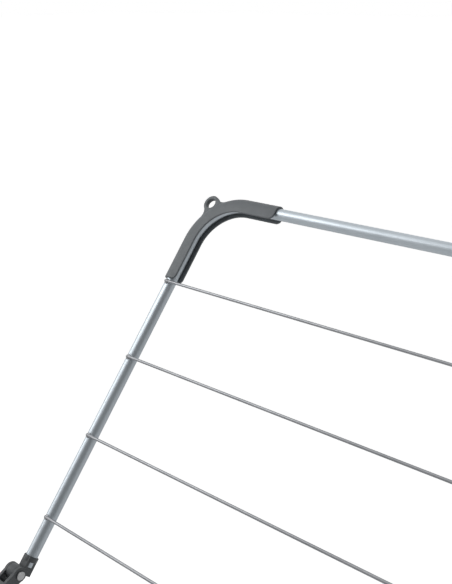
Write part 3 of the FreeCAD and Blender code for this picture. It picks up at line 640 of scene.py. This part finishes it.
def build_wings():
    """Each wing's bent tube, wires and corner clips; the clips come in a left and a right hand."""
    clips = {"north": fused(clip_channel(CLIP_END_ARM, CLIP_SIDE_ARM), eyelet_plate()),
             "south": fused(clip_channel(CLIP_SIDE_ARM, CLIP_END_ARM), eyelet_plate())}
    for end, spin in ENDS:
        place = wing_place(spin)
        body = "wing_" + end
        arm = place @ Matrix.Translation((0, 0, -HINGE_RISE))
        bent_tube("wing_tube_" + end, arm, EYE_OFFSET, WING_REACH, HALF_WIDTH, WING_BEND,
                  FRAME_TUBE, body)
        for number in range(WING_WIRES):
            x = WING_REACH - FIRST_WIRE - number * WIRE_PITCH
            drying_wire("wing_wire_%s_%d" % (end, number + 1), place, x,
                        TUBE_TO_WIRE - HINGE_RISE, body)
        for side, sign in SIDES:
            corner_clip(clips[side], end, side, sign, place)


def build_rack():
    """The rack's side tubes, cross tubes and wires, where their CAD nodes stand."""
    for side, sign in SIDES:
        side_tube("rack_side_tube_" + side, sign * HALF_WIDTH)
    for end, _ in ENDS:
        name = "rack_cross_tube_" + end
        at = middle(name)
        cross_tube(name, Matrix.Translation((0, 0, at.z)), at.x, HALF_WIDTH, FRAME_TUBE, "rack")
    for number in range(RACK_WIRES):
        name = "rack_wire_%d" % (number + 1)
        at = middle(name)
        drying_wire(name, UNMOVED, at.x, at.z, "rack")


def build_legs():
    """The two leg frames, the outer one outside the rack's side tubes and the inner one inside."""
    for name, spin, side in (("outer", 0.0, 1), ("inner", math.pi, -1)):
        place = leg_place(spin)
        half = HALF_WIDTH + side * LEG_SIDE
        body = "leg_" + name
        bent_tube("leg_frame_" + name, place, -LEG_OVER, LEG_LENGTH, half, LEG_BEND, LEG_TUBE, body)
        cross_tube("leg_brace_" + name, place, BRACE_AT, half, LEG_TUBE, body)


def dress_cad():
    """Materials and edge roundings of the CAD nodes that stay."""
    for prefix, material, edge in (
            ("hinge_", HINGE_PLASTIC, 0.0008), ("leg_bracket", HINGE_PLASTIC, 0.0012),
            ("slider_shoe", HINGE_PLASTIC, 0.0012), ("leg_plugs", HINGE_PLASTIC, 0.0008),
            ("crossing_bushes", HINGE_PLASTIC, 0.0006), ("foot_", RUBBER, 0.0014),
            ("clamp_knob", KNOB_PLASTIC, 0.0010), ("bracket_pins", RIVET, 0.0007),
            ("slider_pins", RIVET, 0.0007), ("crossing_rivets", RIVET, 0.0007),
            ("wing_hinge_rivets", RIVET, 0.0007)):
        dress(prefix, material, edge)


# ---- studio --------------------------------------------------------------------------------------

def build_floor():
    """A pale floor that glows a little for the camera, so that it runs into the background."""
    mesh = bpy.data.meshes.new("floor")
    span = 60.0
    mesh.from_pydata([(-span, -span, 0), (span, -span, 0), (span, span, 0), (-span, span, 0)], [],
                     [(0, 1, 2, 3)])
    floor = bpy.data.objects.new("floor", mesh)
    bpy.context.scene.collection.objects.link(floor)
    shader = Shader("pale_floor", Roughness=0.7, Base_Color=(0.86, 0.86, 0.86, 1.0))
    shader.surface.inputs["Emission Color"].default_value = (1.0, 1.0, 1.0, 1.0)
    path = shader.nodes.new("ShaderNodeLightPath")
    glow = shader.spread(path.outputs["Is Camera Ray"], 0.0, 0.55, 0.0, 1.0)
    shader.links.new(glow, shader.surface.inputs["Emission Strength"])
    shader.surface.inputs["Specular IOR Level"].default_value = 0.1
    mesh.materials.append(shader.material)


def build_world():
    """White behind the object; a soft studio for light, dim on the camera's side."""
    world = bpy.data.worlds.new("studio")
    bpy.context.scene.world = world
    world.use_nodes = True
    nodes = world.node_tree.nodes
    links = world.node_tree.links
    place = nodes.new("ShaderNodeTexCoord")
    facing = nodes.new("ShaderNodeVectorMath")
    facing.operation = "DOT_PRODUCT"
    facing.inputs[1].default_value = Vector(DIM_SIDE).normalized()
    ramp = nodes.new("ShaderNodeValToRGB")
    remap = nodes.new("ShaderNodeMapRange")
    remap.inputs["From Min"].default_value = -1.0
    links.new(place.outputs["Generated"], facing.inputs[0])
    links.new(facing.outputs["Value"], remap.inputs["Value"])
    links.new(remap.outputs["Result"], ramp.inputs["Fac"])
    fill_ramp(ramp, [(position, (grey, grey, grey)) for position, grey in STUDIO_STOPS])
    background = nodes["Background"]
    links.new(ramp.outputs["Color"], background.inputs["Color"])
    sky = nodes.new("ShaderNodeBackground")
    sky.inputs["Color"].default_value = (1.0, 1.0, 1.0, 1.0)
    choose = nodes.new("ShaderNodeMixShader")
    path = nodes.new("ShaderNodeLightPath")
    links.new(path.outputs["Is Camera Ray"], choose.inputs["Fac"])
    links.new(background.outputs["Background"], choose.inputs[1])
    links.new(sky.outputs["Background"], choose.inputs[2])
    links.new(choose.outputs["Shader"], nodes["World Output"].inputs["Surface"])


def add_light(name, kind, place, aim, energy, **values):
    """A light at a place, pointed at an aim and unseen by the camera."""
    data = bpy.data.lights.new(name, kind)
    data.energy = energy
    for key, value in values.items():
        setattr(data, key, value)
    light = bpy.data.objects.new(name, data)
    light.visible_camera = False
    light.location = place
    light.rotation_euler = (Vector(aim) - Vector(place)).to_track_quat("-Z", "Y").to_euler()
    bpy.context.scene.collection.objects.link(light)


def build_lights():
    """A broad sun, a small fill at the corner in the picture, and a soft light from one side."""
    add_light("key", "SUN", (-2.0, 1.5, 4.0), (0, 0, 0.6), 0.32, angle=math.radians(50))
    corner = wing_corner()
    add_light("corner_fill", "AREA", corner + Vector((-0.30, 0.16, 0.24)),
              corner + Vector((-0.05, 0, -0.05)), 0.3, size=0.25)
    add_light("soft_left", "AREA", (-0.6, 2.6, 2.4), (0.7, 0.2, 1.2), 14.0, size=1.6)


def wing_corner():
    """Where the axes of the east wing's end tube and north side tube would meet."""
    return wing_place(0.0) @ Vector((WING_REACH, HALF_WIDTH, -HINGE_RISE))


def build_camera():
    """The camera stands on the rack's side and looks out at the raised wing's north corner."""
    heading = math.radians(42.2)
    pitch = math.radians(-18.6)
    right_offset = -0.0173
    down_offset = -0.1128
    ahead = 1.0943
    lens = 54.4
    corner = wing_corner()
    look = Vector((math.cos(heading) * math.cos(pitch), math.sin(heading) * math.cos(pitch),
                   math.sin(pitch)))
    right = look.cross(UP).normalized()
    down = look.cross(right).normalized()
    data = bpy.data.cameras.new("camera")
    data.lens = lens
    data.clip_start = 0.01
    data.clip_end = 500.0
    camera = bpy.data.objects.new("camera", data)
    camera.location = corner - look * ahead - right * right_offset - down * down_offset
    camera.rotation_euler = look.to_track_quat("-Z", "Y").to_euler()
    bpy.context.scene.collection.objects.link(camera)
    bpy.context.scene.camera = camera


bpy.context.scene.view_settings.view_transform = "Standard"
build_rack()
build_wings()
build_legs()
dress_cad()
build_floor()
build_world()
build_lights()
build_camera()
